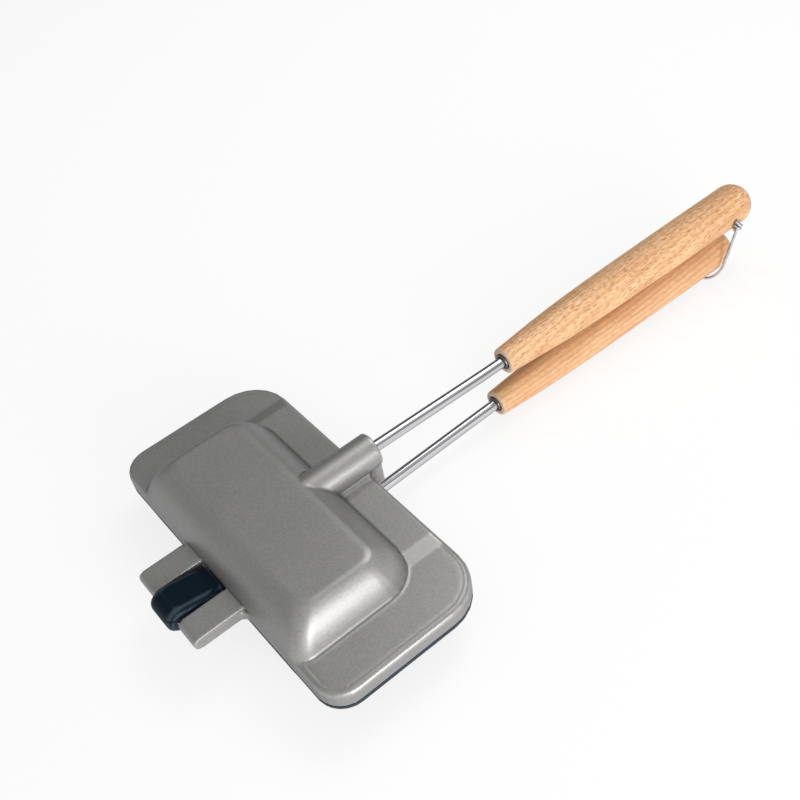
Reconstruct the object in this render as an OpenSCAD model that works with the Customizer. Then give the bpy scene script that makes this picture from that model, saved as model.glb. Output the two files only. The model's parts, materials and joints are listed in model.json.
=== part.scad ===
// Pie iron: two domed cast pans on a hook hinge, with steel rods, turned wooden
// handles and a wire bail that holds the handles shut.
// +X runs from the hinge towards the handles, +Y along the pans, +Z up.
// The origin lies on the flat bottom of the lower dome, under the middle of the pans.

/* [Pans] */
// Length of each pan, across the handles
pan_len = 161.6; // [140:0.1:180]
// Width of each pan, along the handles
pan_wid = 76.6; // [72:0.1:84]
// Radius of the pan corners on the handle side
back_r = 20; // [14:1:22]
// Radius of the pan corners on the hinge side
front_r = 12; // [8:1:16]
// Height of the rim's flat above the middle plane
rim_h = 5.2; // [5:0.1:7]
// Height of a dome above its rim's flat
dome_h = 16.2; // [12:0.1:20]
// Wall thickness of the castings
wall_t = 3; // [2.4:0.1:3.4]
// Radius of the upper rim's shoulder
shoulder_r = 2.2; // [0.8:0.1:2.4]
// Radius of the lower rim's shoulder
lower_shoulder_r = 0.8; // [0.4:0.1:1.6]
// Distance of the groove from the rim's edge
groove_in = 3; // [2.8:0.1:4]
// Width of the groove round the rim
groove_w = 1.2; // [0.6:0.1:1.6]
// Depth of the groove
groove_deep = 0.3; // [0.1:0.05:0.6]
// Depth of the seam below the middle plane
seam_drop = 2.8; // [2:0.1:3]
// Gap between the closed pans
seam_gap = 0.3; // [0.2:0.05:0.6]

/* [Raised strip on the back rim] */
// Height of the strip
strip_h = 1.5; // [0.8:0.1:2.2]
// Length of the strip's top
strip_len = 101; // [80:1:106]
// Run of the ramp at each end of the strip
strip_ramp = 6; // [4:0.5:8]
// Distance of the strip's middle from the pan's middle
strip_shift = 3.7; // [0:0.1:5]
// Distance of the strip from the pan's back edge
strip_in = 1.6; // [1.6:0.1:4]

/* [Dome] */
// Length of the dome's flat top
dome_top_len = 98.4; // [90:0.2:104]
// Width of the dome's flat top
dome_top_wid = 34.3; // [28:0.1:36]
// Distance of the dome's flat top behind the front edge
dome_setback = 12.1; // [10:0.1:13]
// Run of the dome's end walls
end_run = 10.2; // [8:0.1:12]
// Run of the dome's back wall
back_run = 13.2; // [11:0.1:14]
// Corner radius of the dome's flat top
dome_top_r = 6; // [4:0.5:9]
// Radius of the dome's foot at its back corners
dome_foot_r = 16; // [12:0.5:18]
// Radius of the dome's foot at its front corners
dome_front_r = 7; // [5:0.5:12]
// Share of a wall's height that its belly reaches
belly = 0.7; // [0.6:0.01:0.85]

/* [Hinge] */
// Reach of the pin's axis in front of the pans
hinge_reach = 20.4; // [19:0.1:26]
// Gap between the two lugs
lug_gap = 18.6; // [17.6:0.2:22]
// Width of each lug
lug_w = 12.6; // [10:0.2:16]
// Height of the lugs
lug_h = 6.2; // [5.6:0.1:7]
// Radius of the fillets between the lugs and the pan
lug_fillet_r = 4; // [2:0.5:6]
// Diameter of the hinge pin
pin_d = 4; // [3:0.1:4.4]
// Depth of the pin in each lug
pin_seat = 9; // [6:0.5:9.5]
// Radial clearance of the hook on the pin
pin_play = 0.08; // [0.03:0.01:0.1]
// Width of the hook
hook_w = 16.6; // [12:0.2:16.8]
// Size of the break along the hook's outer edges
hook_break = 1.8; // [0.6:0.1:2.4]
// Outer radius of the hook
hook_r = 6.3; // [5.6:0.1:6.8]
// Height of the hook's heel above the middle plane
heel_h = 4.6; // [2:0.1:5]
// Clearance of the heel in front of the pans
heel_gap = 0.5; // [0.3:0.1:1]

/* [Rods] */
// Diameter of the rods
rod_d = 5; // [4:0.1:6]
// Radius of the boss that holds a rod
boss_r = 7.6; // [6.6:0.1:8]
// Height of a boss's axis above the middle plane
boss_h = 13.5; // [13:0.1:13.8]
// Half width of the boss below its round
boss_flank = 5.6; // [4.6:0.1:6.4]
// Reach of the upper boss behind the pans
upper_boss_reach = 5.8; // [4:0.2:12]
// Reach of the lower boss behind the pans
lower_boss_reach = 2.6; // [2:0.2:10]
// Half width of the pad under the boss
pad_half = 7.2; // [6.6:0.1:9]
// Height of the pad above the raised strip
pad_h = 0.7; // [0.3:0.1:1.2]
// Depth of a rod in its boss
rod_seat = 22; // [14:1:24]
// Depth of a rod in its handle
rod_tang = 55; // [35:1:70]
// Distance from the pans to the slight bend in each rod
rod_bend_gap = 70.2; // [50:0.1:72]
// Slope of the rods between boss and bend
rod_slope = 1.8; // [0.6:0.1:2]
// Height of a handle's axis above the middle plane at the bail
axis_h = 10.6; // [10.5:0.1:13]
// Slope of the handles
handle_slope = 0.25; // [0:0.05:0.6]
// Outer diameter of the ferrules
ferrule_d = 7; // [6.6:0.1:8]
// Length of the ferrules
ferrule_len = 14; // [8:1:20]
// Length of a ferrule that stands out of the wood
ferrule_proud = 0.8; // [0.4:0.1:2]

/* [Handles] */
// Distance from the pans to the upper handle
upper_handle_gap = 79.7; // [76:0.1:100]
// Distance from the pans to the lower handle
lower_handle_gap = 73.2; // [73:0.1:94]
// Radius of a handle at its near end
handle_near_r = 6.2; // [5.5:0.1:7]
// Radius of a handle where the swell ends
handle_mid_r = 9.2; // [8:0.05:9.3]
// Rise of the handle's radius from there to the far end
handle_rise = 0.95; // [0:0.05:1]
// Radius by which the lower handle is thinner
slim = 0.7; // [0:0.1:1]
// Length over which the handle swells
swell_len = 30; // [20:1:40]
// Length of the upper handle up to its rounded end
upper_handle_len = 152; // [130:1:170]
// Length of the lower handle up to its turned edge
lower_handle_len = 143.5; // [126:0.5:164]
// Length of the upper handle's rounded end
upper_tip_len = 10; // [6:0.5:14]
// Length of the lower handle's rounded end
lower_tip_len = 12.5; // [8:0.5:14]
// Step of the turned edge on the lower handle
edge_step = 0.5; // [0.2:0.1:1]
// Size of the break on a handle's near end
handle_break = 1; // [0.4:0.1:1.6]

/* [Bail] */
// Diameter of the bail's wire
wire_d = 1.3; // [1:0.05:1.6]
// Distance of the bail's hole before the handle's rounded end
bail_setback = 8; // [6:0.5:14]
// Radial clearance of the wire in its hole
wire_play = 0.08; // [0.03:0.01:0.1]
// Half of the distance between the legs
leg_y = 12.3; // [12.2:0.1:14]
// Lean of the closed bail towards the pans
bail_lean = 24; // [16:1:28]
// Clearance of the closed bail under the lower handle
bail_gap = 0.35; // [0.3:0.05:1]
// Radius of the bend at the top of the far leg
bend_r = 1.2; // [1:0.1:1.4]
// Turns of the wire's tail round the near leg
wrap_turns = 2.25; // [1.25:0.25:4.25]
// Gap between the turns
wrap_gap = 0.45; // [0.42:0.01:0.8]
// Gap between the turns and the leg
wrap_fit = 0.1; // [0.05:0.01:0.2]
// Radius of the bend that takes the tail to the winding
lead_r = 0.9; // [0.8:0.05:1.1]

/* [Hidden] */
$fn = 64;

pan_grey = [0.50, 0.50, 0.49];
coat_navy = [0.09, 0.11, 0.16];
steel = [0.74, 0.75, 0.76];
beech = [0.83, 0.63, 0.43];

over = 0.5;                          // overshoot of cutting tools
far = 400;                           // longer than the whole part
mid_z = rim_h + dome_h;              // height of the middle plane
front_x = -pan_wid / 2;
back_x = pan_wid / 2;

// Each half is drawn with heights above the middle plane. Its casting starts at the seam.
upper_edge = -seam_drop + seam_gap / 2;
lower_edge = seam_drop + seam_gap / 2;

// Dome: extents of the flat top, and shares of the wall for foot and crown
top_x0 = front_x + dome_setback;
top_x1 = top_x0 + dome_top_wid;
top_y = dome_top_len / 2;
front_skin = 0.2;                    // the dome's front stays this far inside the edge
foot_share = 0.12;
crown_share = 0.08;
belly_share = 0.3;                   // share of a wall's run at which its belly stands
inner_foot = rim_h - wall_t;
inner_top = rim_h + dome_h - wall_t;
inner_draw = 0.75 * wall_t;          // the hollow's flat lies this far inside the outer one

pin_r = pin_d / 2;
pin_x = front_x - hinge_reach;
pin_h = rim_h - lug_h / 2;
pin_len = lug_gap + 2 * pin_seat;
lug_y0 = lug_gap / 2;
lug_y1 = lug_y0 + lug_w;
hook_bore_r = pin_r + pin_play;
tip_share = 0.7;                     // the hook's tip ends at this share of its radius
brow = 80;                           // angle on the hook's round at which its arm leaves
heel_x = front_x - heel_gap;
arm_fall = atan((pin_h + hook_r * sin(brow) - heel_h) / (heel_x - pin_x - hook_r * cos(brow)));

rod_r = rod_d / 2;
bend_x = back_x + rod_bend_gap;
upper_near_x = back_x + upper_handle_gap;
lower_near_x = back_x + lower_handle_gap;
handle_far_r = handle_mid_r + handle_rise;
bail_x = upper_near_x + upper_handle_len - bail_setback;
bend_h = axis_h + (bail_x - bend_x) * tan(handle_slope);
ferrule_r = ferrule_d / 2;
mouth = 0.5;                         // the wood stands this far off the ferrule at its mouth
tip_fullness = 0.75;                 // fullness of the lower handle's rounded end

wire_r = wire_d / 2;
bail_z = mid_z + axis_h;
bail_reach = (2 * axis_h + handle_far_r - slim + wire_r + bail_gap) / cos(bail_lean);
wrap_r = 2 * wire_r + wrap_fit;
wrap_pitch = wire_d + wrap_gap;
drop = bail_reach - leg_y;           // height of the pivot over the middle of the loop's arc
WRAP_SIDES = 6;
WRAP_STEPS = 24;
LEAD_STEPS = 4;

// The tail bends aside round a centre beside it, until it touches the winding's circle
lead_in = asin(lead_r / (wrap_r + lead_r));
lead_y = -leg_y + (wrap_r + lead_r) * cos(lead_in);
lead_path = [for (i = [0:LEAD_STEPS - 1]) let (b = (90 - lead_in) * i / LEAD_STEPS)
    [lead_r * (cos(b) - 1), lead_y - lead_r * sin(b), 0]];
wrap_path = [for (i = [0:round(WRAP_STEPS * wrap_turns)]) let (a = 360 * i / WRAP_STEPS)
    [-wrap_r * sin(a + lead_in), -leg_y + wrap_r * cos(a + lead_in), -wrap_pitch * a / 360]];
wrap_self_gap = min([for (i = [0:len(wrap_path) - 1], j = [i:len(wrap_path) - 1])
    if (j - i > WRAP_STEPS / 2) norm(wrap_path[i] - wrap_path[j]) - wire_d]);
echo(least_gap_of_the_winding = wrap_self_gap);

// A point on a curve from a to c that leans towards b
function bent(a, b, c, t) = (1 - t) * (1 - t) * a + 2 * t * (1 - t) * b + t * t * c;

// Bellied wall of the dome from foot to top, as [share of run, share of height]
function dome_wall(foot, crown) = concat(
    [for (t = [0:0.25:0.75]) bent([-foot, 0], [0, 0], [foot / 4, foot], t)],
    [for (t = [0:0.125:1]) bent([foot / 4, foot], [belly_share, belly], [1 - crown, 1 - crown / 3], t)],
    [[1 + crown, 1]]
);

// Bellied wall of the hollow from foot to top, in the same shares
function hollow_wall(crown) = concat(
    [for (t = [0:0.2:1]) bent([0, 0], [belly_share, belly], [1 - crown, 1 - crown / 3], t)],
    [[1 + crown, 1]]
);

// One ring: a rectangle with round corners, front radius fr and back radius br, at the height z
function ring(x0, x1, y, fr, br, z) = [
    for (q = [[1, 1, 0], [-1, 1, 90], [-1, -1, 180], [1, -1, 270]], a = [0:15:90])
        let (r = q[0] > 0 ? br : fr)
            [(q[0] > 0 ? x1 : x0) - q[0] * r + r * cos(a + q[2]), q[1] * (y - r) + r * sin(a + q[2]), z]
];

// The ring of the pan's edge, drawn in by a margin
function edge_ring(inset, z) = ring(
    front_x + inset, back_x - inset, pan_len / 2 - inset, front_r - inset, back_r - inset, z
);

// Closed skin over rings of equal count, from the lowest to the highest
module loft(rings) {
    n = len(rings[0]);
    polyhedron(
        points = [for (one = rings) for (p = one) p],
        faces = concat(
            [[for (i = [0:n - 1]) i]],
            [for (k = [0:len(rings) - 2], i = [0:n - 1])
                [k * n + i, (k + 1) * n + i, (k + 1) * n + (i + 1) % n]],
            [for (k = [0:len(rings) - 2], i = [0:n - 1])
                [k * n + i, (k + 1) * n + (i + 1) % n, k * n + (i + 1) % n]],
            [[for (i = [n - 1:-1:0]) (len(rings) - 1) * n + i]]
        )
    );
}

// Rim slab with a round shoulder and a fine groove round its flat
module rim_slab(edge_h, round_r) {
    loft(concat(
        [edge_ring(0, edge_h)],
        [for (a = [0:30:90]) edge_ring(round_r * (1 - cos(a)), rim_h - round_r * (1 - sin(a)))],
        [edge_ring(groove_in - groove_w / 2, rim_h)],
        [edge_ring(groove_in, rim_h - groove_deep)],
        [edge_ring(groove_in + groove_w / 2, rim_h)]
    ));
}

// Outer skin of the dome, from inside the rim up to the flat top
module dome_skin(round_r) {
    front_run = dome_setback - front_skin;
    rings = [for (w = dome_wall(foot_share, crown_share))
        ring(max(top_x0 - front_run * (1 - w[0]), front_x + front_skin),
             top_x1 + back_run * (1 - w[0]),
             top_y + end_run * (1 - w[0]),
             dome_front_r + (dome_top_r - dome_front_r) * w[0],
             dome_foot_r + (dome_top_r - dome_foot_r) * w[0],
             rim_h + dome_h * w[1])];
    loft(concat([[for (p = rings[0]) [p[0], p[1], rim_h - round_r]]], rings));
}

// Hollow under the dome, open towards the middle plane
module dome_hollow(edge_h) {
    x0 = front_x + wall_t;
    x1 = top_x1 + back_run - wall_t;
    y = top_y + end_run - wall_t;
    foot_r = dome_foot_r - wall_t;
    rings = [for (w = hollow_wall(crown_share)) let (r = foot_r + (dome_top_r - 1 - foot_r) * w[0])
        ring(x0 + (top_x0 + inner_draw - x0) * w[0], x1 + (top_x1 - inner_draw - x1) * w[0],
             y + (top_y - inner_draw - y) * w[0], r, r,
             inner_foot + (inner_top - inner_foot) * w[1])];
    loft(concat([[for (p = rings[0]) [p[0], p[1], edge_h - over]]], rings));
}

// Puts its children on the rod's axis, with the bend at their origin and +X along the rod
module at_bend(slope) {
    translate([bend_x, 0, bend_h]) rotate([0, slope, 0]) children();
}

// Bar from x0 to x1 on the sloping stretch of a rod's axis
module on_rod(x0, x1, r) {
    at_bend(rod_slope) translate([x0 - bend_x, 0, 0]) rotate([0, 90, 0]) cylinder(r = r, h = x1 - x0);
}

// Bar from x0 to x1 on a handle's axis
module on_handle(x0, x1, r) {
    at_bend(handle_slope) translate([x0 - bend_x, 0, 0]) rotate([0, 90, 0]) cylinder(r = r, h = x1 - x0);
}

// Fills the corner between a flank at y and a face at x. Signs sx and sy point into the open.
module corner_fillet(x, y, sx, sy, r, h0, h1) {
    translate([x + sx * r, y + sy * r, h0])
        difference() {
            translate([sx > 0 ? -r - over : 0, sy > 0 ? -r - over : 0, 0])
                cube([r + over, r + over, h1 - h0]);
            translate([0, 0, -over]) cylinder(r = r, h = h1 - h0 + 2 * over);
        }
}

// Boss for a rod: a round on a narrower web, with fillets where it leaves the pan
module boss(edge_h, reach) {
    end_x = back_x + reach;
    web_x = top_x1 + back_run / 2;
    translate([top_x1 - 3, 0, boss_h])
        rotate([0, 90, 0]) cylinder(r = boss_r, h = end_x - top_x1 + 3);
    translate([web_x, -boss_flank, edge_h])
        cube([end_x - web_x, 2 * boss_flank, boss_h - edge_h]);
    fillet = min(reach - over, 5);
    for (s = [-1, 1]) corner_fillet(back_x, s * boss_flank, 1, s, fillet, edge_h, rim_h);
    translate([web_x, -pad_half, rim_h - over])
        cube([back_x - strip_in - web_x, 2 * pad_half, over + strip_h + pad_h]);
}

// Raised strip on the back rim, with a ramp at each end
module strip() {
    y0 = strip_len / 2;
    y1 = y0 + strip_ramp;
    translate([top_x1, strip_shift, rim_h])
        rotate([90, 0, 90])
            linear_extrude(back_x - strip_in - top_x1)
                polygon([[-y1, -over], [-y1, 0], [-y0, strip_h], [y0, strip_h], [y1, 0], [y1, -over]]);
}

// One casting from its seam outwards, with the hollow, the rod's bore and its children's shapes
module pan_half(edge_h, round_r, reach) {
    difference() {
        union() {
            rim_slab(edge_h, round_r);
            dome_skin(round_r);
            strip();
            boss(edge_h, reach);
            children();
        }
        dome_hollow(edge_h);
        on_rod(back_x + reach - rod_seat, back_x + reach + 5, rod_r);
    }
}

// Space inside the upper skirt, down to the seam
module skirt_space() {
    translate([0, 0, upper_edge - over])
        linear_extrude(inner_foot - upper_edge + over)
            polygon([for (p = edge_ring(wall_t, 0)) [p[0], p[1]]]);
}

// One lug of the hinge, with a fillet where it leaves the pan
module lug(s) {
    y0 = s > 0 ? lug_y0 : -lug_y1;
    low = rim_h - lug_h;
    translate([pin_x, y0, low]) cube([hinge_reach + wall_t, lug_w, lug_h]);
    translate([pin_x, y0, pin_h]) rotate([-90, 0, 0]) cylinder(r = lug_h / 2, h = lug_w);
    corner_fillet(front_x, s * lug_y1, -1, s, lug_fillet_r, low, rim_h - shoulder_r);
}

module upper_pan() {
    color(pan_grey)
        translate([0, 0, mid_z])
            difference() {
                pan_half(upper_edge, shoulder_r, upper_boss_reach) {
                    lug(1);
                    lug(-1);
                }
                skirt_space();
                translate([pin_x, -pin_len / 2, pin_h])
                    rotate([-90, 0, 0]) cylinder(r = pin_r, h = pin_len);
            }
}

// Side view of the hook's arm: it stands on the flange, in front of the upper pan, and runs to the pin
module arm_profile() {
    root = front_x + wall_t;
    polygon([
        [root, -lower_edge], [heel_x, -lower_edge], [heel_x, heel_h],
        [pin_x + hook_r * cos(brow), pin_h + hook_r * sin(brow)], [pin_x, pin_h],
        [pin_x + hook_r * cos(50), pin_h - hook_r * sin(50)], [root, -rim_h]
    ]);
}

// Section through the hook from low to high, with both upper edges broken, as [height, side]
function hook_section(low, high) = [
    [low, hook_w / 2], [high - hook_break, hook_w / 2], [high, hook_w / 2 - hook_break],
    [high, hook_break - hook_w / 2], [high - hook_break, -hook_w / 2], [low, -hook_w / 2]
];

// The hook: a round over the pin, open below, on a sloping arm
module hook() {
    difference() {
        union() {
            translate([pin_x, 0, pin_h])
                rotate([90, 0, 0]) rotate_extrude() polygon(hook_section(0, hook_r));
            intersection() {
                translate([0, hook_w / 2, 0]) rotate([90, 0, 0]) linear_extrude(hook_w) arm_profile();
                translate([pin_x, 0, pin_h])
                    rotate([0, arm_fall, 0])
                        rotate([90, 0, 90])
                            linear_extrude(far) polygon([for (p = hook_section(-far, hook_r)) [p[1], p[0]]]);
            }
        }
        translate([pin_x, hook_w, pin_h]) rotate([90, 0, 0]) cylinder(r = hook_bore_r, h = 2 * hook_w);
        translate([pin_x - hook_bore_r, -hook_w, pin_h - far]) cube([2 * hook_bore_r, 2 * hook_w, far]);
        translate([pin_x - far, -hook_w, pin_h - far - hook_r * tip_share]) cube([far, 2 * hook_w, far]);
    }
}

module lower_pan() {
    color(coat_navy)
        translate([0, 0, mid_z]) {
            mirror([0, 0, 1]) pan_half(lower_edge, lower_shoulder_r, lower_boss_reach);
            hook();
        }
}

module hinge_pin() {
    color(steel)
        translate([pin_x, -pin_len / 2, mid_z + pin_h])
            rotate([-90, 0, 0]) cylinder(r = pin_r, h = pin_len);
}

// Puts one half's pieces above or below the middle plane
module half(s) {
    translate([0, 0, mid_z]) mirror([0, 0, s > 0 ? 0 : 1]) children();
}

// Rod from its seat in the boss, over the bend, to its end in the handle
module rod(reach, near_x) {
    difference() {
        on_rod(back_x + reach - rod_seat, bend_x + rod_d, rod_r);
        at_bend((rod_slope + handle_slope) / 2) translate([0, -rod_d, -rod_d]) cube(2 * rod_d);
    }
    difference() {
        on_handle(bend_x - rod_d, near_x + rod_tang, rod_r);
        at_bend((rod_slope + handle_slope) / 2) translate([-2 * rod_d, -rod_d, -rod_d]) cube(2 * rod_d);
    }
}

module upper_rod() {
    color(steel) half(1) rod(upper_boss_reach, upper_near_x);
}

module lower_rod() {
    color(steel) half(-1) rod(lower_boss_reach, lower_near_x);
}

module ferrule(near_x) {
    difference() {
        on_handle(near_x - ferrule_proud, near_x - ferrule_proud + ferrule_len, ferrule_r);
        on_handle(near_x - ferrule_proud - 1, near_x + ferrule_len, rod_r);
    }
}

module upper_ferrule() {
    color(steel) half(1) ferrule(upper_near_x);
}

module lower_ferrule() {
    color(steel) half(-1) ferrule(lower_near_x);
}

// Radius of a handle at the distance d from its near end, on a body of the given length,
// thinner by the given amount once it has swelled
function handle_r(d, body, thinner) = handle_mid_r + handle_rise * d / body - thinner
    - (handle_mid_r - thinner - handle_near_r) * exp(-pow(d / swell_len, 1.3));

// Turned handle with the given outline past its body, bored for rod and ferrule
module handle(near_x, body, thinner, tip) {
    steps = 20;
    outline = concat(
        [[0, 0], [handle_near_r - handle_break, 0], [handle_r(handle_break, body, thinner), handle_break]],
        [for (i = [1:steps]) let (d = body * i / steps) [handle_r(d, body, thinner), d]],
        tip
    );
    at_bend(handle_slope)
        translate([near_x - bend_x, 0, 0])
            rotate([0, 90, 0])
                difference() {
                    rotate_extrude() polygon(outline);
                    translate([0, 0, -1]) cylinder(r = rod_r, h = rod_tang + 1);
                    translate([0, 0, -1]) cylinder(r = ferrule_r, h = ferrule_len - ferrule_proud + 1);
                    translate([0, 0, -0.01]) cylinder(r1 = ferrule_r + mouth, r2 = ferrule_r, h = 2 * mouth);
                }
}

// Outline of a rounded end with the radius r and the length l, from its own start to its middle.
// A fullness of 1 gives an ellipse, and less a fuller shoulder.
function round_end(r, start, l, fullness) = [for (a = [0:10:90])
    [r * pow(max(cos(a), 0), fullness), start + l * pow(sin(a), fullness)]];

module upper_handle() {
    color(beech)
        difference() {
            half(1)
                handle(upper_near_x, upper_handle_len, 0,
                       round_end(handle_far_r - 0.01, upper_handle_len, upper_tip_len, 1));
            translate([bail_x, far / 2, bail_z])
                rotate([90, 0, 0]) cylinder(r = wire_r + wire_play, h = far);
        }
}

module lower_handle() {
    color(beech)
        half(-1)
            handle(lower_near_x, lower_handle_len, slim,
                   round_end(handle_far_r - slim - edge_step, lower_handle_len, lower_tip_len, tip_fullness));
}

// The bail in its own frame, with its pivot at the origin and its legs down
module bail_loop() {
    translate([0, -leg_y, -drop]) cylinder(r = wire_r, h = drop + wire_d);
    translate([0, 0, -drop])
        rotate([90, 0, 90])
            rotate([0, 0, 180]) rotate_extrude(angle = 180) translate([leg_y, 0]) circle(r = wire_r);
    translate([0, leg_y, -drop]) cylinder(r = wire_r, h = drop - bend_r);
    translate([0, leg_y - bend_r, -bend_r])
        rotate([90, 0, 90]) rotate_extrude(angle = 90) translate([bend_r, 0]) circle(r = wire_r);
    translate([0, leg_y - bend_r, 0])
        rotate([90, 0, 0]) cylinder(r = wire_r, h = leg_y - bend_r - lead_y - wire_d);
}

module bail_wire() {
    color(steel)
        translate([bail_x, 0, bail_z]) rotate([0, bail_lean, 0]) bail_loop();
}

// Tube of the radius r along a level path, with a face across each point
module tube(path, r, sides) {
    last = len(path) - 1;
    loft([for (i = [0:last]) let (
            along = path[min(i + 1, last)] - path[max(i - 1, 0)],
            across = cross(along, [0, 0, 1]) / norm(cross(along, [0, 0, 1])),
            up = cross(across, along) / norm(along))
        [for (k = [0:sides - 1]) let (b = 360 * k / sides) path[i] + r * (cos(b) * across + sin(b) * up)]
    ]);
}

// The wire's tail: it leaves the hole, bends aside and winds down round the near leg
module bail_winding() {
    color(steel)
        translate([bail_x, 0, bail_z]) rotate([0, bail_lean, 0])
            tube(concat([[0, lead_y + wire_d, 0]], lead_path, wrap_path), wire_r, WRAP_SIDES);
}

upper_pan();
lower_pan();
hinge_pin();
upper_rod();
lower_rod();
upper_ferrule();
lower_ferrule();
upper_handle();
lower_handle();
bail_wire();
bail_winding();
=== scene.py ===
"""Looks of a pie iron: two cast pans on a hook hinge, steel rods, turned handles and a wire bail.

Every size is in metres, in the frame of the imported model.
"""

import json
import math

import bpy
from mathutils import Matrix, Vector

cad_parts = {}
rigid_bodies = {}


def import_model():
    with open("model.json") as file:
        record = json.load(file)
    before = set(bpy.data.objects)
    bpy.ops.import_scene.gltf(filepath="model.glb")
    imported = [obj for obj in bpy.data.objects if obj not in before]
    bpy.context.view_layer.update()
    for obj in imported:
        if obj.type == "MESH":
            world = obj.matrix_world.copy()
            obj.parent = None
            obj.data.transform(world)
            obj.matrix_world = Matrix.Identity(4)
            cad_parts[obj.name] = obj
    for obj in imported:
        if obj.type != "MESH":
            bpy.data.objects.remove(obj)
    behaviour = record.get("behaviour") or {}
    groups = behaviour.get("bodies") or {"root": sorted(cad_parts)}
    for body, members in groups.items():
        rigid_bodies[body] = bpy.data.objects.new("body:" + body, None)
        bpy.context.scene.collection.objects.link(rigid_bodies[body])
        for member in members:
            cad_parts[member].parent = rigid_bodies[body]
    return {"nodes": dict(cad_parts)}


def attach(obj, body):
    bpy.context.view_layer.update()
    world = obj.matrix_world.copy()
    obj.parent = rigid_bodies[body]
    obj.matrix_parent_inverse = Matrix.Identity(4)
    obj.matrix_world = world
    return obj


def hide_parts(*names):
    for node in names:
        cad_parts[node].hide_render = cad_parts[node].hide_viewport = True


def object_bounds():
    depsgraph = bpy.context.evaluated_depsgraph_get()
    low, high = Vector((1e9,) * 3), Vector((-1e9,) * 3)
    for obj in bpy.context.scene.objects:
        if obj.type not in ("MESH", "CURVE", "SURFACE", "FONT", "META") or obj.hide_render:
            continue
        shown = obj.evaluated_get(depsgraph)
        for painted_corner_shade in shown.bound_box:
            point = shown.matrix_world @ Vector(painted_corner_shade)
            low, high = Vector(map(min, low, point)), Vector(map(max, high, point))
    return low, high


bl_info = {
    "name": "Pie Iron",
    "version": (1, 0, 0),
    "blender": (4, 5, 0),
    "location": "3D View > Sidebar > Pie Iron",
    "description": "Dresses the packed pie iron with castings, turned wood, a bent wire and a studio",
    "category": "Add Mesh",
}

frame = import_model()
CAD_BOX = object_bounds()
NODES = frame["nodes"]

MM = 0.001
EDGE_LAYER = "edges"  # a casting's layer that is above a half on outer edges and below it in inner corners


# ---------------------------------------------------------------- settings

def length(name, description, default):
    return bpy.props.FloatProperty(
        name=name, description=description, default=default, subtype="DISTANCE", unit="LENGTH", precision=5
    )


def share(name, description, default):
    return bpy.props.FloatProperty(
        name=name, description=description, default=default, min=0, max=1, subtype="FACTOR"
    )


def colour(name, description, default):
    return bpy.props.FloatVectorProperty(
        name=name, description=description, default=default, size=3, min=0, max=1, subtype="COLOR"
    )


def lamp_power(name, description, default):
    return bpy.props.FloatProperty(
        name=name, description=description, default=default, min=0, unit="POWER"
    )


class PieIronSizes(bpy.types.PropertyGroup):
    """Sizes of the pieces that are modelled here"""

    cell: length("Casting cell", "Size of the cells that a casting's skin is built from", 0.68 * MM)
    passes: bpy.props.IntProperty(
        name="Casting passes", description="Smoothing passes that round a casting's edges", default=2, min=0
    )
    near_radius: length("Near radius", "Radius of a handle at its near end", 6.2 * MM)
    middle_radius: length("Middle radius", "Radius of a handle where its swell ends", 9.2 * MM)
    radius_rise: length("Radius rise", "Rise of a handle's radius from there to its far end", 0.95 * MM)
    slim: length("Slimmer by", "Radius by which the lower handle is thinner", 0.7 * MM)
    swell: length("Swell", "Length over which a handle swells", 30 * MM)
    edge_break: length("Edge break", "Size of the rounded edge at a handle's near end", 1 * MM)
    ferrule_radius: length("Ferrule radius", "Outer radius of a ferrule", 3.5 * MM)
    ferrule_length: length("Ferrule length", "Length of a ferrule", 14 * MM)
    ferrule_proud: length("Ferrule proud", "Length of a ferrule that stands out of the wood", 0.8 * MM)
    rod_radius: length("Rod radius", "Radius of the rods", 2.5 * MM)
    wire_radius: length("Wire radius", "Radius of the bail's wire", 0.65 * MM)
    bail_hole: length("Bail hole", "Radius of the bail's hole in the upper handle", 0.75 * MM)


class PieIronFinishes(bpy.types.PropertyGroup):
    """Colours and gloss of the finishes"""

    grey_coat: colour("Grey coat", "Colour of the upper pan's satin coat", (0.325, 0.321, 0.316))
    grey_roughness: share("Grey roughness", "Roughness of the upper pan's coat", 0.38)
    grey_metal: share("Grey metal", "How metallic the upper pan's coat is", 0.6)
    navy_coat: colour("Navy coat", "Colour of the lower pan's satin coat", (0.0012, 0.0078, 0.016))
    # This colour stands partly for rubbed paint and partly for a painted highlight on the lower pan's edges.
    navy_worn_and_highlight: colour("Highlighted_and_worn navy", "Colour of the lower pan's worn edges", (0.07, 0.088, 0.105))
    navy_roughness: share("Navy roughness", "Roughness of the lower pan's coat", 0.52)
    steel: colour("Steel", "Colour of the polished steel", (0.62, 0.62, 0.64))
    steel_roughness: share("Steel roughness", "Roughness of the polished steel", 0.07)
    steel_edge: colour("Steel edge", "Tint of the steel's reflections at a grazing view", (0.22, 0.21, 0.25))
    sleeve: colour("Sleeve metal", "Colour of the dull metal of the ferrules", (0.22, 0.205, 0.21))
    wood_light: colour("Light wood", "Colour of the early wood", (0.83, 0.545, 0.3))
    # This colour also serves as painted shade on the lower handle.
    wood_dark: colour("Dark wood", "Colour of the late wood", (0.58, 0.30, 0.145))
    wood_fleck: colour("Fleck", "Colour of the short flecks", (0.27, 0.11, 0.04))
    wood_end: colour("End grain", "Colour of the bare end grain", (0.60, 0.47, 0.37))


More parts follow.
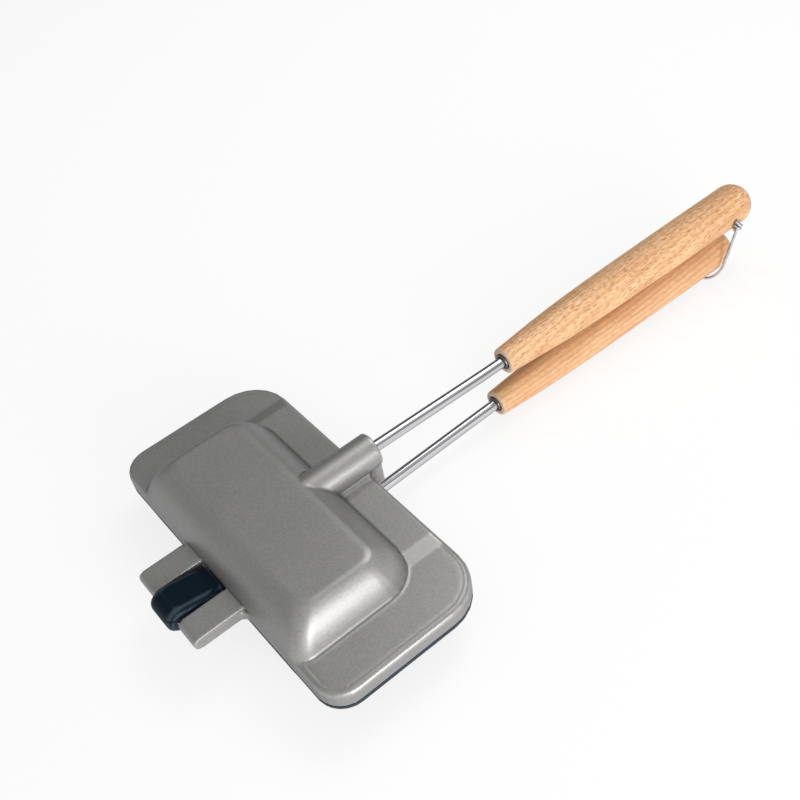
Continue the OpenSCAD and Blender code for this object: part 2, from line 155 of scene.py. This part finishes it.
class PieIronStudio(bpy.types.PropertyGroup):
    """Camera, light and floor"""

    lens: bpy.props.FloatProperty(
        name="Lens", description="Focal length on a 36 mm sensor, in millimetres", default=50.76, min=1
    )
    sky: bpy.props.FloatProperty(name="Sky", description="Strength of the sky's light", default=1.0, min=0)
    key: lamp_power("Key lamp", "Power of the soft lamp at the near side", 3.5)
    fill: lamp_power("Fill lamp", "Power of the soft lamp above the rods", 2.5)
    shadow: share("Shadow", "How much of the object's shadow the white floor shows", 0.2)


# ---------------------------------------------------------------- selecting and shaping

def deselect_all():
    for thing in bpy.context.scene.objects:
        thing.select_set(False)


def pick(piece):
    deselect_all()
    piece.hide_set(False)
    piece.select_set(True)
    bpy.context.view_layer.objects.active = piece


def in_edit_mode(piece):
    pick(piece)
    bpy.ops.object.mode_set(mode="EDIT")


def leave_edit_mode():
    bpy.ops.object.mode_set(mode="OBJECT")


def close_skin(piece):
    """Merges doubled points and turns all faces outwards."""
    in_edit_mode(piece)
    bpy.ops.mesh.select_all(action="SELECT")
    bpy.ops.mesh.remove_doubles(threshold=0.002 * MM)
    bpy.ops.mesh.normals_make_consistent(inside=False)
    leave_edit_mode()


def apply_modifier(piece, kind, **settings):
    pick(piece)
    modifier = piece.modifiers.new(kind.lower(), kind)
    for key, value in settings.items():
        setattr(modifier, key, value)
    bpy.ops.object.modifier_apply(modifier=modifier.name)


def smooth_below(piece, degrees):
    pick(piece)
    bpy.ops.object.shade_smooth_by_angle(angle=math.radians(degrees))


def dress(piece, material, body, slot, *nodes):
    """Gives a finished piece its material, the body it rides on and the nodes that it stands for."""
    piece.data.materials.clear()
    piece.data.materials.append(material)
    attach(piece, body)
    if nodes:
        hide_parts(*nodes)


def lathe(name, outline, steps, place):
    """Turns an outline of (distance along the axis, radius) about +X, then puts it in its place."""
    deselect_all()
    bpy.ops.mesh.primitive_plane_add(size=1)
    piece = bpy.context.object
    piece.name = piece.data.name = name
    in_edit_mode(piece)
    bpy.ops.mesh.select_all(action="SELECT")
    bpy.ops.mesh.merge(type="CENTER")
    bpy.ops.transform.translate(value=(outline[0][0], 0, outline[0][1]))
    for (x0, r0), (x1, r1) in zip(outline, outline[1:]):
        bpy.ops.mesh.extrude_region_move(TRANSFORM_OT_translate={"value": (x1 - x0, 0, r1 - r0)})
    bpy.ops.mesh.select_all(action="SELECT")
    bpy.ops.mesh.spin(steps=steps, angle=2 * math.pi, center=(0, 0, 0), axis=(1, 0, 0))
    leave_edit_mode()
    piece.data.transform(place)
    close_skin(piece)
    return piece


# ---------------------------------------------------------------- materials

class Link:
    """A node's output that can be used in plain maths."""

    def __init__(self, nodes, socket):
        self.nodes = nodes
        self.socket = socket

    def maths(self, operation, *values):
        return self.nodes.node("ShaderNodeMath", {"operation": operation}, dict(enumerate(values)))

    def __add__(self, other):
        return self.maths("ADD", self, other)

    def __sub__(self, other):
        return self.maths("SUBTRACT", self, other)

    def __rsub__(self, other):
        return self.maths("SUBTRACT", other, self)

    def __mul__(self, other):
        return self.maths("MULTIPLY", self, other)

    def __pow__(self, other):
        return self.maths("POWER", self, other)

    __radd__ = __add__
    __rmul__ = __mul__

    def sine(self):
        return self.maths("SINE", self)

    def size(self):
        return self.maths("ABSOLUTE", self)

    def larger(self, other):
        return self.maths("MAXIMUM", self, other)

    def angle(self, other):
        """Angle of the point (other, self), in radians."""
        return self.maths("ARCTAN2", self, other)

    def between(self, low, high):
        """0 at low, 1 at high, with a soft start and end."""
        return self.nodes.node(
            "ShaderNodeMapRange", {"interpolation_type": "SMOOTHSTEP"},
            {"Value": self, "From Min": low, "From Max": high},
        )


class Nodes:
    """Builds the nodes of one tree."""

    def __init__(self, tree):
        self.tree = tree

    def node(self, kind, settings, sockets, output=0):
        made = self.tree.nodes.new(kind)
        for key, value in settings.items():
            if key == "stops":
                self.set_stops(made.color_ramp.elements, value)
            else:
                setattr(made, key, value)
        for key, value in sockets.items():
            self.feed(made.inputs[key], value)
        return Link(self, made.outputs[output])

    def set_stops(self, elements, stops):
        while len(elements) < len(stops):
            elements.new(0.5)
        for element, (position, rgb) in zip(elements, stops):
            element.position = position
            element.color = (*rgb, 1)

    def feed(self, socket, value):
        if isinstance(value, Link):
            self.tree.links.new(value.socket, socket)
        else:
            socket.default_value = value

    def split(self, vector):
        return [self.node("ShaderNodeSeparateXYZ", {}, {0: vector}, axis) for axis in "XYZ"]

    def joined(self, x, y, z):
        return self.node("ShaderNodeCombineXYZ", {}, {"X": x, "Y": y, "Z": z})

    def vector(self, operation, first, second=(0, 0, 0), output=0):
        return self.node("ShaderNodeVectorMath", {"operation": operation}, {0: first, 1: second}, output)

    def noise(self, vector, scale, detail=2.0, roughness=0.5):
        return self.node(
            "ShaderNodeTexNoise", {},
            {"Vector": vector, "Scale": scale, "Detail": detail, "Roughness": roughness},
        )

    def mix(self, share_of_second, first, second):
        mixer = self.tree.nodes.new("ShaderNodeMix")
        mixer.data_type = "RGBA"
        sockets = {s.identifier: s for s in mixer.inputs}
        self.feed(sockets["Factor_Float"], share_of_second)
        self.feed(sockets["A_Color"], first if isinstance(first, Link) else (*first, 1))
        self.feed(sockets["B_Color"], second if isinstance(second, Link) else (*second, 1))
        return Link(self, next(s for s in mixer.outputs if s.identifier == "Result_Color"))

    def bump(self, height, strength, distance):
        return self.node("ShaderNodeBump", {}, {"Height": height, "Strength": strength, "Distance": distance})


# One over a fleck's half length and half width, in shares of its cell
FLECK_SHAPE = (1 / 0.36, 1 / 0.15, 0)


class Finish(Nodes):
    """A material that is built node by node."""

    def __init__(self, name):
        self.material = bpy.data.materials.new(name)
        self.material.use_nodes = True
        super().__init__(self.material.node_tree)
        self.shader = self.tree.nodes["Principled BSDF"]
        self.place = self.node("ShaderNodeTexCoord", {}, {}, "Object")

    def surface(self, **sockets):
        """Feeds the shader's sockets, named with underscores for spaces."""
        for key, value in sockets.items():
            self.feed(self.shader.inputs[key.replace("_", " ")], value)

    def flecks(self, place, step, row, most):
        """Short dashes along X, one to each cell of step by row, each of its own strength up to most."""
        cells = self.vector("MULTIPLY", place, (1 / step, 1 / row, 0))
        middle, lot = (
            self.node(
                "ShaderNodeTexVoronoi", {"voronoi_dimensions": "2D"},
                {"Vector": cells, "Scale": 1.0, "Randomness": 0.8}, output,
            )
            for output in ("Position", "Color")
        )
        offset = self.vector("MULTIPLY", self.vector("SUBTRACT", cells, middle), FLECK_SHAPE)
        reach = self.vector("LENGTH", offset, output="Value")
        chance, size, depth = self.split(lot)
        strength = chance.between(0.1, 0.4) * (0.4 + 0.6 * depth) * most
        return (1 - (reach - 0.4 * size).between(0.4, 1.0)) * strength

    def stretched(self, x, y, z):
        return self.node("ShaderNodeMapping", {}, {"Vector": self.place, "Scale": (x, y, z)})


def scaled(rgb, factor):
    return tuple(min(1, c * factor) for c in rgb)


# Heights over and under the middle between which the groove round each rim lies, with soft borders
GROOVE_FROM = (4.5 * MM, 4.8 * MM)
GROOVE_TO = (5.25 * MM, 5.6 * MM)
# Values of the edge layer between which the painted shade of inner corners fades out
CORNER_SHADE_FADE = (0.33, 0.47)


def satin_coat(name, rgb, worn_and_highlight_rgb, worn_and_highlight_range, roughness, metal):
    """Sprayed satin coat: soft clouds, fine grain, lighter edges that are partly rubbed paint and partly a
    painted highlight, and painted shade in inner corners.

    The lighter edges set in between two values of the edge layer. They and the painted shade both leave out
    the groove round the rim.
    """
    coat = Finish(name)
    cloud = coat.noise(coat.place, 28, 3)
    grain = coat.noise(coat.place, 1300, 2)
    peel = coat.noise(coat.place, 420, 2)
    edges = coat.node("ShaderNodeAttribute", {"attribute_name": EDGE_LAYER}, {}, "Fac")
    height = (coat.split(coat.place)[2] - MIDDLE_Z).size()
    off_groove = 1 - height.between(*GROOVE_FROM) * (1 - height.between(*GROOVE_TO))
    # Lighter edges: partly rubbed paint, partly a painted highlight.
    worn_and_painted_highlight = off_groove * edges.between(*worn_and_highlight_range)
    # Painted shade: inner corners are darkened where shade falls in the creases.
    painted_corner_shade = off_groove * (1 - edges.between(*CORNER_SHADE_FADE))
    tone = coat.mix(cloud.between(0.3, 0.7), scaled(rgb, 0.95), scaled(rgb, 1.05))
    speck = coat.mix(grain.between(0.35, 0.65), scaled(rgb, 0.9), scaled(rgb, 1.1))
    body = coat.mix(0.6, tone, speck)
    body = coat.mix(0.5 * worn_and_painted_highlight, body, worn_and_highlight_rgb)
    # The base colour is darkened in inner corners towards 0.3 of the coat's colour, as painted shade.
    coat.surface(
        Base_Color=coat.mix(0.7 * painted_corner_shade, body, scaled(rgb, 0.3)),
        Roughness=roughness - 0.04 + 0.08 * cloud + 0.08 * grain - 0.06 * worn_and_painted_highlight,
        Metallic=metal,
        Specular_IOR_Level=0.2,
        Specular_Tint=(0.35, 0.35, 0.38, 1),
        Normal=coat.bump(peel + 0.8 * grain, 0.4, 0.03 * MM),
    )
    return coat.material


def drawn_metal(name, rgb, edge_tint, roughness, along):
    """Drawn or turned metal with fine lines; along holds the stretch of the lines."""
    metal = Finish(name)
    lines = metal.noise(metal.stretched(*along), 1, 2)
    metal.surface(
        Base_Color=metal.mix(lines.between(0.3, 0.7), scaled(rgb, 0.86), scaled(rgb, 1.1)),
        Metallic=1.0,
        Specular_Tint=(*edge_tint, 1),
        Roughness=roughness + 0.06 * metal.noise(metal.place, 60).between(0.4, 0.7),
    )
    return metal.material


RING_STEP = 2.4 * MM
UNROLL_RADIUS = 9.5 * MM  # of the handle, where flecks and fibres keep their true width


def beech(name, finishes, middle, turns, pith, near_x, fleck_and_lit_share):
    """Pale wood: rings round a far pith, fine fibres, and short dark flecks in rows along the grain.

    The grain's own frame has its origin in the handle's middle, +X along the grain and +Y away from the pith.
    The end grain is bare at near_x. The fewer flecks, the darker the wood: a handle with fewer flecks also
    gets painted shade.
    """
    wood = Finish(name)
    grain = wood.node(
        "ShaderNodeMapping", {"vector_type": "TEXTURE"},
        {"Vector": wood.place, "Location": middle, "Rotation": turns},
    )
    waver = wood.noise(wood.vector("MULTIPLY", grain, (14, 80, 80)), 1)
    ring_place = wood.vector("ADD", wood.vector("MULTIPLY", grain, (0, 1, 1)), (0, pith, 0))
    radius = wood.vector("LENGTH", ring_place, output="Value")
    rings = 0.5 + 0.5 * ((radius + 2.6 * MM * waver) * (2 * math.pi / RING_STEP)).sine()

    along, sideways, up = wood.split(wood.vector("SUBTRACT", wood.place, middle))
    unrolled = wood.joined(along, UNROLL_RADIUS * sideways.angle(up) + 0.6 * MM * waver, 0)
    fibre = wood.noise(wood.vector("MULTIPLY", unrolled, (300, 1700, 0)), 1, 3, 0.6)
    patch = wood.noise(wood.vector("MULTIPLY", unrolled, (22, 110, 0)), 1)
    # Painted shade: besides the rings and patches, a handle with fewer flecks is darkened towards the dark
    # wood.
    late_and_shaded = 0.5 * rings ** 2 + 0.5 * patch.between(0.3, 0.7) + 0.3 * (1 - fleck_and_lit_share)
    body = wood.mix(late_and_shaded, finishes.wood_light, finishes.wood_dark)
    body = wood.mix(0.7 * fibre.between(0.42, 0.62), body, finishes.wood_dark)

    bold = wood.flecks(unrolled, 3.4 * MM, 1.6 * MM, 0.95)
    fine = wood.flecks(unrolled, 2.5 * MM, 1.1 * MM, 0.6)
    fleck = fleck_and_lit_share * bold.larger(fine)
    body = wood.mix(fleck, body, finishes.wood_fleck)

    bare = 1 - wood.split(wood.place)[0].between(near_x + 0.2 * MM, near_x + 1.3 * MM)
    wood.surface(
        Base_Color=wood.mix(bare * 0.85, body, finishes.wood_end),
        Roughness=0.5 + 0.1 * fibre + 0.15 * fleck,
        Specular_IOR_Level=0.35,
        Normal=wood.bump(1 - fleck + 0.3 * fibre, 0.5, 0.08 * MM),
    )
    return wood.material


# ---------------------------------------------------------------- places

MIDDLE_Z = 21.4 * MM
BEND_X = 108.5 * MM
BEND_HEIGHT = 11.27 * MM  # of the rods' bends, over and under the middle
BEND_REACH = 6 * MM
HANDLE_SLOPE = math.radians(0.25)
ROD_SLOPE = math.radians(1.8)
ROD_TANG = 55 * MM  # length of a rod inside its handle
UPPER_ROD_START = 22.1 * MM
LOWER_ROD_START = 18.9 * MM
UPPER_NEAR = 118 * MM
LOWER_NEAR = 111.5 * MM
UPPER_BODY = 152 * MM  # length of a handle up to its rounded tip
LOWER_BODY = 143.5 * MM
UPPER_TIP = 10 * MM
LOWER_TIP = 12.5 * MM
LOWER_TIP_STEP = 0.5 * MM  # by which the turned edge stands proud of the tip
BAIL_X = 262 * MM
BAIL_Z = 32 * MM
BAIL_LEAN = math.radians(24)


def axis_place(near_x, side):
    """Frame of a handle's axis: origin at the near end, +X along the handle; side is 1 above, -1 below."""
    bend = Matrix.Translation((BEND_X, 0, MIDDLE_Z + side * BEND_HEIGHT))
    return bend @ Matrix.Rotation(side * HANDLE_SLOPE, 4, "Y") @ Matrix.Translation((near_x - BEND_X, 0, 0))


def handle_radius(sizes, d, body, slim):
    """Radius of a handle at a distance d from its near end."""
    middle = sizes.middle_radius - slim
    swelled = (middle - sizes.near_radius) * math.exp(-((d / sizes.swell) ** 1.3))
    return middle + sizes.radius_rise * d / body - swelled


def handle_outline(sizes, body, slim, tip_radius, tip_length, fullness):
    """From the floor of the socket, over the near end and the swell, to the rounded far end."""
    inner = sizes.ferrule_radius
    edge = sizes.edge_break
    socket = 5 * MM
    body_steps, tip_steps = 56, 18
    first = handle_radius(sizes, edge, body, slim)
    outline = [(socket, 0), (socket, inner), (1 * MM, inner)]
    outline += [(0.15 * MM, inner + 0.4 * MM), (0, inner + 0.6 * MM)]
    for i in range(5):
        a = math.radians(90 * i / 4)
        outline.append((edge * (1 - math.cos(a)), first - edge + edge * math.sin(a)))
    for i in range(1, body_steps + 1):
        d = body * i / body_steps
        outline.append((d, handle_radius(sizes, d, body, slim)))
    for i in range(tip_steps):
        a = math.radians(90 * i / tip_steps)
        outline.append((body + tip_length * math.sin(a) ** fullness, tip_radius * math.cos(a) ** fullness))
    return outline + [(body + tip_length, 0)]


# ---------------------------------------------------------------- pieces

def cast(name, node, sizes):
    """A casting's soft skin over the merged copy of its node, with a layer that tells edges from corners."""
    mesh = NODES[node].data.copy()
    mesh.name = name
    piece = bpy.data.objects.new(name, mesh)
    bpy.context.scene.collection.objects.link(piece)
    in_edit_mode(piece)
    bpy.ops.mesh.select_all(action="SELECT")
    bpy.ops.mesh.remove_doubles(threshold=0.001 * MM)
    leave_edit_mode()
    apply_modifier(
        piece, "REMESH", mode="VOXEL", voxel_size=sizes.cell, adaptivity=0, use_smooth_shade=True
    )
    apply_modifier(piece, "SMOOTH", factor=0.5, iterations=sizes.passes)
    layer = piece.data.color_attributes.new(EDGE_LAYER, "FLOAT_COLOR", "CORNER")
    layer.data.foreach_set("color", [1.0] * 4 * len(layer.data))
    piece.data.color_attributes.active_color = layer
    pick(piece)
    # The layer tells how convex or concave the skin is at each point. The coats use it for lighter edges,
    # which are partly a painted highlight, and for painted shade in inner corners.
    bpy.ops.paint.vertex_color_dirt(
        blur_strength=1, blur_iterations=1, normalize=False,
        clean_angle=math.radians(104), dirt_angle=math.radians(76),
    )
    return piece


class PIE_IRON_OT_pans(bpy.types.Operator):
    """Cast both pans with their satin coats"""

    bl_idname = "pie_iron.pans"
    bl_label = "Cast pans"

    def execute(self, context):
        sizes = context.scene.pie_iron_sizes
        finishes = context.scene.pie_iron_finishes
        # Each coat's edges are lightened, partly as rubbed paint and partly as a painted highlight.
        grey = satin_coat(
            "grey_coat", finishes.grey_coat, scaled(finishes.grey_coat, 1.4), (0.53, 0.68),
            finishes.grey_roughness, finishes.grey_metal,
        )
        navy = satin_coat(
            "navy_coat", finishes.navy_coat, finishes.navy_worn_and_highlight, (0.53, 0.66),
            finishes.navy_roughness, 0.0,
        )
        upper = cast("upper_pan_casting", "upper_pan", sizes)
        lower = cast("lower_pan_casting", "lower_pan", sizes)
        dress(upper, grey, "upper_half", "grey_coat", "upper_pan")
        dress(lower, navy, "lower_half", "navy_coat", "lower_pan")
        return {"FINISHED"}


def bent_wire(name, path, radius, fineness):
    """A round wire along a path, with closed ends."""
    curve = bpy.data.curves.new(name, "CURVE")
    curve.dimensions = "3D"
    curve.twist_mode = "MINIMUM"
    curve.bevel_depth = radius
    curve.bevel_resolution = fineness
    curve.use_fill_caps = True
    spline = curve.splines.new("POLY")
    spline.points.add(len(path) - 1)
    for point, place in zip(spline.points, path):
        point.co = (*place, 1)
    wire = bpy.data.objects.new(name, curve)
    bpy.context.scene.collection.objects.link(wire)
    pick(wire)
    bpy.ops.object.convert(target="MESH")
    close_skin(wire)
    smooth_below(wire, 40)
    return wire


def rod_path(start_x, near_x, side):
    """A rod's axis from its seat in the boss, round a soft bend, to its end in the handle."""
    handle_axis = axis_place(near_x, side)
    bend = handle_axis @ Vector((BEND_X - near_x, 0, 0))
    to_boss = Vector((-math.cos(ROD_SLOPE), 0, side * math.sin(ROD_SLOPE)))
    to_handle = (handle_axis @ Vector((ROD_TANG, 0, 0)) - bend).normalized()
    path = [bend + to_boss * ((BEND_X - start_x) / math.cos(ROD_SLOPE))]
    for i in range(9):
        t = i / 8
        path.append(bend + (to_boss * (1 - t) ** 2 + to_handle * t ** 2) * BEND_REACH)
    return path + [handle_axis @ Vector((ROD_TANG, 0, 0))]


class PIE_IRON_OT_rods(bpy.types.Operator):
    """Bend both rods and give them and the hinge pin their polished steel"""

    bl_idname = "pie_iron.rods"
    bl_label = "Bend rods"

    def execute(self, context):
        sizes = context.scene.pie_iron_sizes
        finishes = context.scene.pie_iron_finishes
        edge = finishes.steel_edge
        steel = drawn_metal("drawn_steel", finishes.steel, edge, finishes.steel_roughness, (8, 900, 900))
        for name, start_x, near_x, side in (
            ("upper", UPPER_ROD_START, UPPER_NEAR, 1), ("lower", LOWER_ROD_START, LOWER_NEAR, -1)
        ):
            rod = bent_wire(name + "_bent_rod", rod_path(start_x, near_x, side), sizes.rod_radius, 10)
            dress(rod, steel, name + "_half", "steel", name + "_rod")
        pin_steel = drawn_metal("pin_steel", scaled(finishes.steel, 0.6), edge, 0.35, (900, 8, 900))
        for slot in NODES["hinge_pin"].material_slots:
            slot.material = pin_steel
        return {"FINISHED"}


class PIE_IRON_OT_ferrules(bpy.types.Operator):
    """Turn the two ferrules with their rolled lips"""

    bl_idname = "pie_iron.ferrules"
    bl_label = "Turn ferrules"

    def execute(self, context):
        sizes = context.scene.pie_iron_sizes
        finishes = context.scene.pie_iron_finishes
        sleeve = drawn_metal("sleeve_metal", finishes.sleeve, finishes.steel_edge, 0.3, (900, 60, 60))
        outer, inner = sizes.ferrule_radius, sizes.rod_radius + 0.05 * MM
        lip = (outer - inner) / 2
        near, far = -sizes.ferrule_proud, sizes.ferrule_length - sizes.ferrule_proud
        outline = []
        for i in range(9):
            a = math.radians(22.5 * i)
            outline.append((near + lip * (1 - math.sin(a)), inner + lip * (1 - math.cos(a))))
        outline += [(far, outer - 0.01 * MM), (far, inner), outline[0]]
        for name, near_x, side in (("upper", UPPER_NEAR, 1), ("lower", LOWER_NEAR, -1)):
            piece = lathe(name + "_ferrule_sleeve", outline, 64, axis_place(near_x, side))
            smooth_below(piece, 40)
            dress(piece, sleeve, name + "_half", "ferrule", name + "_ferrule")
        return {"FINISHED"}


class PIE_IRON_OT_handles(bpy.types.Operator):
    """Turn both wooden handles and drill the bail's hole"""

    bl_idname = "pie_iron.handles"
    bl_label = "Turn handles"

    def execute(self, context):
        sizes = context.scene.pie_iron_sizes
        finishes = context.scene.pie_iron_finishes
        far_radius = sizes.middle_radius + sizes.radius_rise
        upper_outline = handle_outline(sizes, UPPER_BODY, 0, far_radius - 0.01 * MM, UPPER_TIP, 1)
        upper = lathe("upper_handle_turned", upper_outline, 96, axis_place(UPPER_NEAR, 1))
        deselect_all()
        bpy.ops.mesh.primitive_cylinder_add(
            vertices=32, radius=sizes.bail_hole, depth=40 * MM,
            location=(BAIL_X, 0, BAIL_Z), rotation=(math.pi / 2, 0, 0),
        )
        drill = bpy.context.object
        apply_modifier(upper, "BOOLEAN", operation="DIFFERENCE", solver="EXACT", object=drill)
        bpy.data.objects.remove(drill)
        tip_radius = far_radius - sizes.slim - LOWER_TIP_STEP
        lower_outline = handle_outline(sizes, LOWER_BODY, sizes.slim, tip_radius, LOWER_TIP, 0.75)
        lower = lathe("lower_handle_turned", lower_outline, 96, axis_place(LOWER_NEAR, -1))

        upper_middle = axis_place(UPPER_NEAR, 1) @ Vector((UPPER_BODY / 2, 0, 0))
        lower_middle = axis_place(LOWER_NEAR, -1) @ Vector((LOWER_BODY / 2, 0, 0))
        upper_wood = beech(
            "upper_beech", finishes, upper_middle, (math.radians(190), 0.03, 0.05), 40 * MM, UPPER_NEAR, 1.0
        )
        # The lower handle has fewer flecks and is darkened as painted shade.
        lower_wood = beech(
            "lower_beech", finishes, lower_middle, (math.radians(245), 0.04, 0.08), 24 * MM, LOWER_NEAR, 0.35
        )
        for piece, wood, half in ((upper, upper_wood, "upper"), (lower, lower_wood, "lower")):
            smooth_below(piece, 40)
            dress(piece, wood, half + "_half", "beech", half + "_handle")
        return {"FINISHED"}


def bail_path():
    """The bail from its free end, down the near leg, round, through the handle and into its winding.

    Its points are in millimetres, with the origin in the handle's bore and -Z down the legs.
    """
    wire = 1.3  # thickness
    leg = 12.3  # distance of each leg from the middle
    drop = 34.645 - leg  # length of a leg's straight stretch
    bend, lead = 1.2, 0.9  # radii of the bends into the bore and into the winding
    wrap, pitch, turns = wire + 0.1, wire + 0.45, 2.25  # radius, pitch and turns of the winding
    lead_in = math.asin(lead / (wrap + lead))
    lead_y = -leg + (wrap + lead) * math.cos(lead_in)
    points = [(0, -leg, wire), (0, -leg, 0), (0, -leg, -drop / 2)]
    for i in range(33):
        a = math.pi * i / 32
        points.append((0, -leg * math.cos(a), -drop - leg * math.sin(a)))
    points.append((0, leg, -drop / 2))
    for i in range(9):
        a = math.pi / 2 * i / 8
        points.append((0, leg - bend + bend * math.cos(a), -bend + bend * math.sin(a)))
    points.append((0, 0, 0))
    for i in range(6):
        b = (math.pi / 2 - lead_in) * i / 6
        points.append((lead * (math.cos(b) - 1), lead_y - lead * math.sin(b), 0))
    for i in range(round(36 * turns) + 1):
        a = 2 * math.pi * i / 36
        y = -leg + wrap * math.cos(a + lead_in)
        points.append((-wrap * math.sin(a + lead_in), y, -pitch * a / (2 * math.pi)))
    place = Matrix.Translation((BAIL_X, 0, BAIL_Z)) @ Matrix.Rotation(BAIL_LEAN, 4, "Y")
    return [place @ (Vector(p) * MM) for p in points]


class PIE_IRON_OT_bail(bpy.types.Operator):
    """Bend the bail from one wire"""

    bl_idname = "pie_iron.bail"
    bl_label = "Bend bail"

    def execute(self, context):
        sizes = context.scene.pie_iron_sizes
        finishes = context.scene.pie_iron_finishes
        wire = bent_wire("bail_bent_wire", bail_path(), sizes.wire_radius, 4)
        steel = drawn_metal("wire_steel", finishes.steel, finishes.steel_edge, 0.2, (240, 240, 240))
        dress(wire, steel, "bail", "wire", "bail_wire", "bail_winding")
        return {"FINISHED"}


# ---------------------------------------------------------------- studio

CAMERA_RIGHT = Vector((0.770235, -0.624223, -0.130707))
CAMERA_DOWN = Vector((-0.523962, -0.502522, -0.687703))
CAMERA_FORWARD = Vector((0.363597, 0.598178, -0.714129))
CAMERA_PLACE = Vector((-106.65, -280.77, 385.64)) * MM
CAMERA_SHIFT = (-0.0050, -0.0029)
# The sky is brightest round this direction, on the near side. Its levels run from the opposite side to there,
# with a narrow dark band that draws a thin line along the rods.
WINDOW = Vector((-0.3, -0.93, 0.12))
SKY_LEVELS = (
    (0.0, 0.06), (0.12, 0.14), (0.24, 0.36), (0.5, 0.46), (0.72, 0.7), (0.78, 0.45),
    (0.805, 0.08), (0.835, 0.3), (0.87, 0.95), (0.93, 1.3), (1.0, 1.7),
)


def soft_lamp(name, place, aim, width, power):
    lamp = bpy.data.lights.new(name, "AREA")
    lamp.shape = "DISK"
    lamp.size = width
    lamp.energy = power
    holder = bpy.data.objects.new(name, lamp)
    bpy.context.scene.collection.objects.link(holder)
    holder.location = place
    holder.rotation_euler = (Vector(aim) - Vector(place)).to_track_quat("-Z", "Y").to_euler()


def show_white(nodes, shaded, in_metal, shown):
    """Lays plain white over a shader for the camera and through glass, and in metal, by the share shown."""
    path = nodes.node("ShaderNodeLightPath", {}, {}, "Is Camera Ray")
    rays = path.socket.node.outputs
    seen = path.larger(Link(nodes, rays["Is Transmission Ray"]))
    if in_metal:
        seen = seen.larger(Link(nodes, rays["Is Glossy Ray"]))
    output = next(n for n in nodes.tree.nodes if n.type.startswith("OUTPUT"))
    white = nodes.node("ShaderNodeEmission", {}, {"Strength": 1.0})
    both = nodes.node("ShaderNodeMixShader", {}, {0: seen * shown, 1: shaded, 2: white})
    nodes.feed(output.inputs["Surface"], both)


class PIE_IRON_OT_stage(bpy.types.Operator):
    """Set up the camera, the soft lamps and the white floor"""

    bl_idname = "pie_iron.stage"
    bl_label = "Set the stage"

    def execute(self, context):
        studio = context.scene.pie_iron_studio
        scene = context.scene

        lens = bpy.data.cameras.new("camera")
        lens.sensor_width = 36
        lens.lens = studio.lens
        lens.shift_x, lens.shift_y = CAMERA_SHIFT
        lens.clip_start = 0.01
        camera = bpy.data.objects.new("camera", lens)
        scene.collection.objects.link(camera)
        turn = Matrix((CAMERA_RIGHT, -CAMERA_DOWN, -CAMERA_FORWARD)).transposed()
        camera.matrix_world = Matrix.Translation(CAMERA_PLACE) @ turn.to_4x4()
        scene.camera = camera

        deselect_all()
        bpy.ops.mesh.primitive_plane_add(size=8, location=(0.1, 0, CAD_BOX[0][2] - 0.05 * MM))
        floor = context.object
        floor.name = "floor"
        paint = Finish("floor_white")
        paint.surface(Base_Color=(0.98, 0.98, 0.98, 1), Roughness=0.9, Specular_IOR_Level=0.1)
        show_white(paint, Link(paint, paint.shader.outputs[0]), True, 1 - studio.shadow)
        floor.data.materials.append(paint.material)

        world = bpy.data.worlds.new("studio")
        world.use_nodes = True
        scene.world = world
        sky = Nodes(world.node_tree)
        direction = sky.node("ShaderNodeTexCoord", {}, {}, "Generated")
        towards = sky.vector("DOT_PRODUCT", direction, WINDOW.normalized(), output="Value")
        stops = [(at, (level / 2, level / 2, level / 2)) for at, level in SKY_LEVELS]
        ramp = sky.node("ShaderNodeValToRGB", {"stops": stops}, {0: 0.5 + 0.5 * towards})
        air = sky.tree.nodes["Background"]
        sky.feed(air.inputs["Color"], ramp)
        air.inputs["Strength"].default_value = 2 * studio.sky
        show_white(sky, Link(sky, air.outputs[0]), False, 1.0)

        soft_lamp("key", (0.0, -0.74, 0.2), (0.0, 0, 0.02), 0.42, studio.key)
        soft_lamp("fill", (0.5, 0.12, 0.76), (0.05, 0, 0), 0.5, studio.fill)
        scene.view_settings.view_transform = "Standard"
        return {"FINISHED"}


# ---------------------------------------------------------------- panel and registration

OPERATORS = (
    PIE_IRON_OT_stage,
    PIE_IRON_OT_pans,
    PIE_IRON_OT_rods,
    PIE_IRON_OT_ferrules,
    PIE_IRON_OT_handles,
    PIE_IRON_OT_bail,
)
GROUPS = {
    "pie_iron_sizes": PieIronSizes,
    "pie_iron_finishes": PieIronFinishes,
    "pie_iron_studio": PieIronStudio,
}


class PIE_IRON_PT_sidebar(bpy.types.Panel):
    bl_label = "Pie Iron"
    bl_idname = "PIE_IRON_PT_sidebar"
    bl_space_type = "VIEW_3D"
    bl_region_type = "UI"
    bl_category = "Pie Iron"

    def draw(self, context):
        for group in GROUPS:
            box = self.layout.box()
            settings = getattr(context.scene, group)
            for name in settings.__annotations__:
                box.prop(settings, name)
        for operator in OPERATORS:
            self.layout.operator(operator.bl_idname)


CLASSES = (*GROUPS.values(), *OPERATORS, PIE_IRON_PT_sidebar)


def register():
    for one in CLASSES:
        bpy.utils.register_class(one)
    for name, group in GROUPS.items():
        setattr(bpy.types.Scene, name, bpy.props.PointerProperty(type=group))


def unregister():
    for name in GROUPS:
        delattr(bpy.types.Scene, name)
    for one in reversed(CLASSES):
        bpy.utils.unregister_class(one)


def main():
    register()
    for operator in OPERATORS:
        getattr(bpy.ops.pie_iron, operator.bl_idname.split(".")[1])()


if __name__ == "__main__":
    main()
